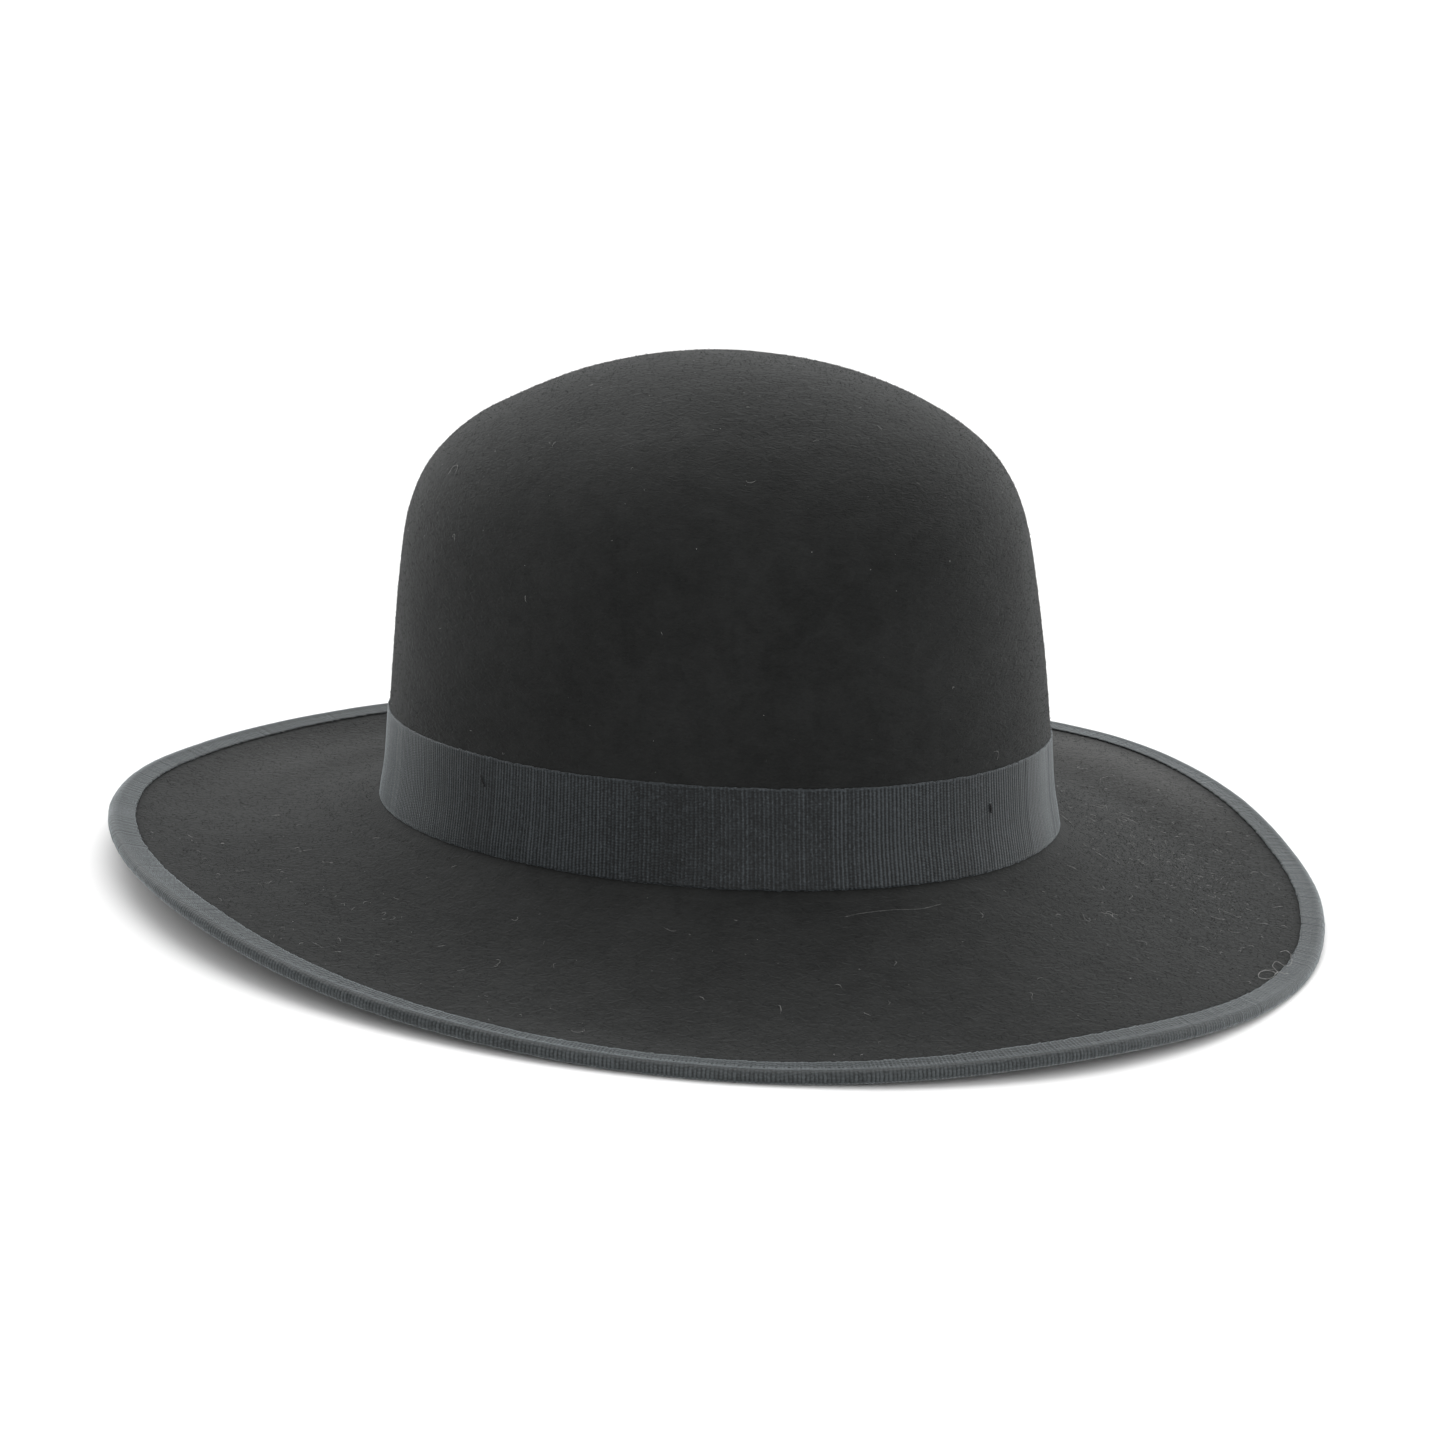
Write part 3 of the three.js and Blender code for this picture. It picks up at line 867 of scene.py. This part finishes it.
def make_binding_lap():
    t, along, shape = lap_columns(*BINDING_SEAM, EDGE_RIB_PITCH)
    brim = Brim(t)
    outside = [row for row in binding_section() if row[4] > 0]
    rows, up, rib = [], [], []
    for i, (distance, depth, out, down, share) in enumerate(outside):
        edge = min(i, len(outside) - 1 - i)
        full = min(1.0, 0.3 + 0.35 * edge)
        lift = full * (lap_lift(along) + share * 0.2 * shape)
        inward = 0.25 * (edge < 2)
        rows.append(brim.point(distance + out * lift - inward, depth + down * lift))
        up.append(i * BINDING_ROW)
        rib.append(0.36 + 0.26 * shape)
    for i, (distance, depth, out, down, _) in reversed(list(enumerate(outside))[1:-1]):
        rows.append(brim.point(distance + out * 0.02, depth + down * 0.02))
        up.append(i * BINDING_ROW)
        rib.append(shape * 0)
    return ribbon_mesh("binding_lap", rows, along, up, rib, open_columns=True)


# Threads, nap and lint
class Strands:
    """Many thin closed strands in one mesh, in metres."""

    def __init__(self):
        self.points = []
        self.faces = []
        self.count = 0

    def tube(self, path, radius, sides, taper=0.5):
        """A tube along a path of points, narrowing to its ends."""
        ahead = np.gradient(path, axis=0)
        ahead /= np.linalg.norm(ahead, axis=1, keepdims=True)
        side = np.cross(ahead, [0.31, 0.17, 0.93])
        side /= np.linalg.norm(side, axis=1, keepdims=True)
        other = np.cross(ahead, side)
        turns = np.arange(sides) * TURN / sides
        n = len(path)
        widths = np.full(n, radius)
        widths[0] = widths[-1] = radius * taper
        cos, sin = (x[None, :, None] for x in (np.cos(turns), np.sin(turns)))
        ring = cos * side[:, None] + sin * other[:, None]
        rings = path[:, None] + widths[:, None, None] * ring
        first = self.count
        self.points.append(rings.reshape(-1, 3))
        self.count += n * sides
        for i in range(n - 1):
            a, b = first + i * sides, first + (i + 1) * sides
            for k in range(sides):
                m = (k + 1) % sides
                self.faces.append([a + k, a + m, b + m, b + k])
        self.faces.append([first + k for k in reversed(range(sides))])
        last = first + (n - 1) * sides
        self.faces.append([last + k for k in range(sides)])

    def build(self, name):
        return add_mesh(name, np.vstack(self.points), self.faces)


# The two stitches on the crown ribbon: angle and height of one end, then of the other
TACKS = ((190.0, 20.1, 191.25, 17.1), (282.45, 16.9, 282.65, 14.3))
TACK_TWIST = 13.0  # turn of the threads round each other
TACK_SPREAD = 0.13  # from the middle of a stitch to its threads' middles
TACK_THREAD = 0.15
TACK_RADIUS = 98.0  # about how far from the hat's middle


def make_tacks():
    """The stitches that hold the crown ribbon, each of two twisted threads."""
    strands = Strands()
    for t_from, high, t_to, low in TACKS:
        f = np.linspace(0, 1, 15)
        t = np.radians(t_from + (t_to - t_from) * f)
        height = high + (low - high) * f
        lift = 0.3 * np.sin(math.pi * f) ** 0.5 - 0.12
        for turn in (0.0, math.pi):
            rows = []
            for a, h, x, w in zip(t, height, lift, turn + f * TACK_TWIST):
                a = np.array([a + TACK_SPREAD * math.cos(w) / TACK_RADIUS])
                rows.append(wall_point(a, h, -x - TACK_SPREAD * math.sin(w)))
            strands.tube(laid_down(np.vstack(rows)), TACK_THREAD * MM, 6)
    return strands.build("ribbon_tacks")


STITCH_PITCH = 3.0
STITCH_LENGTH = 2.3
STITCH_ROW = 3.15  # from the binding's inner edge
STITCH_THREAD = 0.11


def make_stitches():
    """The row of stitches through the binding, above and below."""
    strands = Strands()
    rng = draws("stitches")
    distance = BRIM_WIDTH - BINDING_REACH + STITCH_ROW
    line = brim_line(distance, 0.0)
    count = round(even_angles(line, 1, 0.0)[2] / STITCH_PITCH)
    t0, _, length = even_angles(line, count, 0.0)
    per_mm = TURN / length
    f = np.linspace(0, 1, 6)
    sunk = 0.34 - 0.2 * np.sin(math.pi * f) ** 0.6
    for below in (False, True):
        for t in t0 + (0.5 * STITCH_PITCH * per_mm if below else 0):
            long = STITCH_LENGTH * rng.uniform(0.9, 1.08)
            slant = rng.normal() * 0.07
            brim = Brim(t + f * long * per_mm)
            depth = BOUND_EDGE - sunk if below else sunk
            path = brim.point(distance + slant * (f - 0.5) * 2 + rng.normal() * 0.04, depth)
            strands.tube(laid_down(path), STITCH_THREAD * MM, 4)
    return strands.build("binding_stitches")


class Skin:
    """Part of an outer face, to lay fibres on, more densely where its weight is higher."""

    def __init__(self, grid, weight=1.0):
        a, b = grid[:-1], grid[1:]
        c, d = np.roll(b, -1, axis=1), np.roll(a, -1, axis=1)
        normal = np.cross(c - a, d - b)
        area = np.linalg.norm(normal, axis=2)
        self.normal = (normal / area[..., None]).reshape(-1, 3)
        self.corners = [x.reshape(-1, 3) for x in (a, b, c, d)]
        share = area * weight
        self.share = (share / share.sum()).ravel()

    def sample(self, rng, count):
        """Random places on the face, and the normals there."""
        pick = rng.choice(len(self.share), count, p=self.share)
        u, v = rng.random((2, count, 1))
        a, b, c, d = (x[pick] for x in self.corners)
        return (a * (1 - u) + b * u) * (1 - v) + (d * (1 - u) + c * u) * v, self.normal[pick]


def tangents(rng, normal):
    """A random direction along the surface at each normal."""
    across = np.cross(normal, rng.normal(size=normal.shape))
    return across / np.linalg.norm(across, axis=1, keepdims=True)


NAP_COUNT = 42000
NAP_LENGTHS = (0.45, 1.25)
NAP_LIFTS = (10, 48)  # degrees
NAP_RADIUS = 0.045


def make_nap(name, skin):
    """Short felt fibres, each a closed spike, lying nearly flat in all directions."""
    rng = draws(name)
    count = NAP_COUNT
    place, normal = skin.sample(rng, count)
    along = tangents(rng, normal)
    lift = np.radians(rng.uniform(*NAP_LIFTS, count))[:, None]
    ahead = along * np.cos(lift) + normal * np.sin(lift)
    length = (rng.uniform(*NAP_LENGTHS, count) * MM)[:, None]
    width = (NAP_RADIUS * rng.uniform(0.6, 1.1, count) * MM)[:, None]
    side = np.cross(ahead, normal)
    side /= np.linalg.norm(side, axis=1, keepdims=True)
    other = np.cross(side, ahead)
    base = place - normal * 0.04 * MM
    corners = [
        base + width * (math.cos(k * TURN / 3) * side + math.sin(k * TURN / 3) * other)
        for k in range(3)
    ]
    tip = place + ahead * length
    points = np.stack([*corners, tip], 1).reshape(-1, 3)
    first = np.arange(count)[:, None] * 4
    faces = np.concatenate([first + f for f in ([0, 1, 3], [1, 2, 3], [2, 0, 3], [2, 1, 0])])
    if signed_volume(points[:4], faces[[0, count, 2 * count, 3 * count]]) < 0:
        faces = faces[:, ::-1]
    points[:, 2] = np.maximum(points[:, 2], 0.0)
    return add_mesh(name, points, faces.tolist())


def surface_tree(objects):
    """Nearest-point lookup on the hat's outer faces."""
    points, faces = [], []
    for obj in objects:
        first = len(points)
        points += [tuple(v.co) for v in obj.data.vertices]
        faces += [[first + i for i in p.vertices] for p in obj.data.polygons]
    return BVHTree.FromPolygons(points, faces)


def laid_on(tree, path, height):
    """A path moved onto the surface nearest to it, and lifted off it."""
    out = []
    for point, lift in zip(path, height):
        place, normal, _, _ = tree.find_nearest(Vector(point))
        out.append(place + normal * lift)
    return np.array(out)


def curl(rng, start, ahead, normal, length, wander):
    """A wandering path along the surface, of the given length."""
    steps = max(6, int(length / (0.5 * MM)))
    heading = 0.0
    bend = rng.normal() * wander
    points = [start]
    side = np.cross(normal, ahead)
    for _ in range(steps):
        bend = 0.8 * bend + rng.normal() * wander * 0.5
        heading += bend
        step = ahead * math.cos(heading) + side * math.sin(heading)
        points.append(points[-1] + step * length / steps)
    return np.array(points)


# Longer fibres that lie on the brim: radius, then angles and distances from the ribbon
LONG_FIBRES = [
    [
        0.06, (305.0, 65.7), (305.8, 67.0), (305.1, 68.5), (304.0, 69.3), (302.2, 70.1),
        (301.2, 69.8), (301.7, 68.5), (302.2, 66.5), (301.5, 66.1), (300.5, 66.5),
        (299.6, 68.3), (298.9, 68.6),
    ],
    [
        0.06, (299.4, 71.6), (299.1, 70.3), (299.0, 68.4), (299.2, 67.6), (298.9, 66.1),
        (297.9, 65.2), (296.7, 65.7), (296.3, 66.8), (296.8, 68.2), (297.8, 68.8),
        (298.9, 68.5),
    ],
    [0.014, (251.4, 8.5), (254.5, 7.4), (259.2, 7.0), (263.5, 7.6), (267.4, 6.8)],
    [0.05, (332.0, 1.2), (329.8, 2.3), (327.9, 5.0), (326.0, 5.6)],
]
LINT_LENGTHS = [1.0, 2.0, 3.6, 6.0]
LINT_ODDS = [0.4, 0.38, 0.19, 0.03]
LINT_COUNTS = {"crown lint": 60, "brim lint": 330}
SPECK_COUNTS = {"crown lint": 200, "brim lint": 380}


def through_knots(knots, places):
    """A smooth curve through evenly spaced values, at places counted in steps."""
    i = np.clip(np.floor(places).astype(int), 0, len(knots) - 2)
    near = (knots[np.clip(i + k, 0, len(knots) - 1)] for k in (-1, 0, 1, 2))
    return catmull(*near, places - i)


def make_lint(tree, skins):
    """Pale fibres that cling to the felt."""
    rng = draws("lint")
    strands = Strands()
    for skin, count in LINT_COUNTS.items():
        place, normal = skins[skin].sample(rng, count)
        ahead = tangents(rng, normal)
        for p, a, n in zip(place, ahead, normal):
            length = rng.choice(LINT_LENGTHS, p=LINT_ODDS)
            length *= rng.uniform(0.7, 1.3) * MM
            path = curl(rng, p, a, n, length, 0.6)
            rise = 0.12 + 0.3 * rng.random() * np.sin(np.linspace(0, math.pi, len(path)))
            strands.tube(laid_on(tree, path, rise * MM), rng.uniform(0.022, 0.04) * MM, 3, 0.4)
    for radius, *points in LONG_FIBRES:
        f = np.linspace(0, len(points) - 1, 8 * len(points))
        angle, distance = (through_knots(knots, f) for knots in np.array(points).T)
        path = laid_down(Brim(np.radians(angle)).point(distance, 0.2))
        strands.tube(laid_on(tree, path, np.full(len(path), 0.25 * MM)), radius * MM, 4, 0.4)
    return strands.build("lint")


def make_specks(skins):
    """Tiny specks of dust, each a closed eight-sided grain."""
    rng = draws("specks")
    shape = np.array([(1, 0, 0), (0, 1, 0), (-1, 0, 0), (0, -1, 0), (0, 0, 1), (0, 0, -1)])
    upper = [(i, (i + 1) % 4, 4) for i in range(4)]
    triangles = np.array(upper + [(b, a, 5) for a, b, _ in upper])
    points, faces = [], []
    for skin, count in SPECK_COUNTS.items():
        place, normal = skins[skin].sample(rng, count)
        for p, n in zip(place, normal):
            size = rng.uniform(0.04, 0.1) * MM
            stretch = rng.uniform(0.6, 1.6, (6, 1))
            faces.append(triangles + 6 * len(points))
            points.append(p + n * size * 0.8 + shape * stretch * size)
    return add_mesh("specks", np.vstack(points), np.vstack(faces).tolist())


# Camera, lights and floor
def towards(azimuth, elevation):
    """The direction to an azimuth, 0 on the -Y side and 90 degrees on the +X, and elevation."""
    level = math.cos(elevation)
    return Vector((math.sin(azimuth) * level, -math.cos(azimuth) * level, math.sin(elevation)))


def make_camera():
    roll = CAMERA_ROLL
    right = Vector((math.cos(CAMERA_TURN), math.sin(CAMERA_TURN), 0))
    back = towards(CAMERA_TURN, CAMERA_RISE)
    up = back.cross(right)
    eye = right * CAMERA_AIM_RIGHT + Vector((0, 0, CAMERA_AIM_UP)) + back * CAMERA_DISTANCE
    rolled = right * math.cos(roll) + up * math.sin(roll)
    lifted = up * math.cos(roll) - right * math.sin(roll)
    rest = Matrix(REST_TURN.tolist())
    axes = [rest @ v for v in (rolled, lifted, back)]
    place = (rest @ eye + Vector(REST_SHIFT)) * MM
    data = bpy.data.cameras.new("camera")
    data.lens = CAMERA_LENS
    data.sensor_width = SENSOR
    data.sensor_fit = "HORIZONTAL"
    data.clip_start = 0.05
    data.clip_end = 50
    camera = add_object("camera", data)
    camera.matrix_world = Matrix.Translation(place) @ Matrix(axes).transposed().to_4x4()
    bpy.context.scene.camera = camera


WORLD_STRENGTH = 0.45
# Name, azimuth, elevation and width in degrees, strength
LIGHTS = (
    ("back_right", 104, 27, 50, 0.5), ("back_left", 192, 27, 50, 0.95),
    ("backdrop", 146.5, 12, 120, 0.4), ("overhead", 146, 72, 60, 1.95),
    ("front", 326, 30, 70, 1.3), ("right_side", 60, 14, 60, 1.55),
)
FLOOR_HALF = 30.0
FLOOR_HEIGHT = -0.0002


def soft_light(name, azimuth, elevation, width, strength):
    back = towards(math.radians(azimuth), math.radians(elevation))
    data = bpy.data.lights.new(name, "SUN")
    data.angle = math.radians(width)
    data.energy = strength
    light = add_object(name, data)
    light.location = back * 2
    light.rotation_mode = "QUATERNION"
    light.rotation_quaternion = (-back).to_track_quat("-Z", "Y")


def make_studio():
    world = bpy.data.worlds.new("studio")
    bpy.context.scene.world = world
    world.use_nodes = True
    background = world.node_tree.nodes["Background"]
    background.inputs["Color"].default_value = (1, 1, 1, 1)
    background.inputs["Strength"].default_value = WORLD_STRENGTH
    for light in LIGHTS:
        soft_light(*light)
    corners = [(-1, -1), (1, -1), (1, 1), (-1, 1)]
    vertices = [(x * FLOOR_HALF, y * FLOOR_HALF, FLOOR_HEIGHT) for x, y in corners]
    floor = add_mesh("floor", vertices, [[0, 1, 2, 3]])
    material, _, shader = new_material("floor")
    shader.inputs["Base Color"].default_value = (0.82, 0.82, 0.82, 1)
    shader.inputs["Roughness"].default_value = 0.9
    floor.data.materials.append(material)
    bpy.context.scene.view_settings.view_transform = "Standard"


def dress(obj, material, slot, *replaced):
    """Give a piece its material and body, and hide the CAD nodes that it stands for. Its slot is
    not used.
    """
    obj.data.materials.append(material)
    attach(obj, "root")
    if replaced:
        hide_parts(*replaced)


make_camera()
make_studio()

felt_look = felt_material()
nap_look = plain_material("nap", NAP_DARK, NAP_LIGHT, 1.5, 0.9)
ribbon_look = ribbon_material(
    "crown_ribbon", RIB_PITCH, RIBBON_VALLEY_SHADE, RIBBON_CREST,
    sharpness=3.0, gloss=0.24, sheen=0.46, sheen_spread=0.35,
)
binding_look = ribbon_material(
    "binding", EDGE_RIB_PITCH, BINDING_VALLEY_SHADE, BINDING_CREST,
    sharpness=1.3, gloss=0.3, sheen=0.85, sheen_spread=0.3,
)
thread_look = plain_material("thread", THREAD_DARK, THREAD_LIGHT, 0.4, 0.7, sheen=0.1)
lint_look = plain_material("lint", LINT_DARK, LINT_LIGHT, 1.0, 0.8)

felt, skins = make_felt()
dress(felt, felt_look, "felt", "felt_body")
dress(make_crown_ribbon(), ribbon_look, "ribbon", "crown_ribbon")
dress(make_ribbon_lap(), ribbon_look, "ribbon")
binding = make_binding()
dress(binding, binding_look, "binding", "edge_binding")
dress(make_binding_lap(), binding_look, "binding")
dress(make_tacks(), thread_look, "ribbon")
dress(make_stitches(), thread_look, "binding")
dress(make_nap("nap_crown", skins["crown nap"]), nap_look, "felt")
dress(make_nap("nap_brim", skins["brim nap"]), nap_look, "felt")
dress(make_lint(surface_tree([felt, binding]), skins), lint_look, "felt")
dress(make_specks(skins), lint_look, "felt")
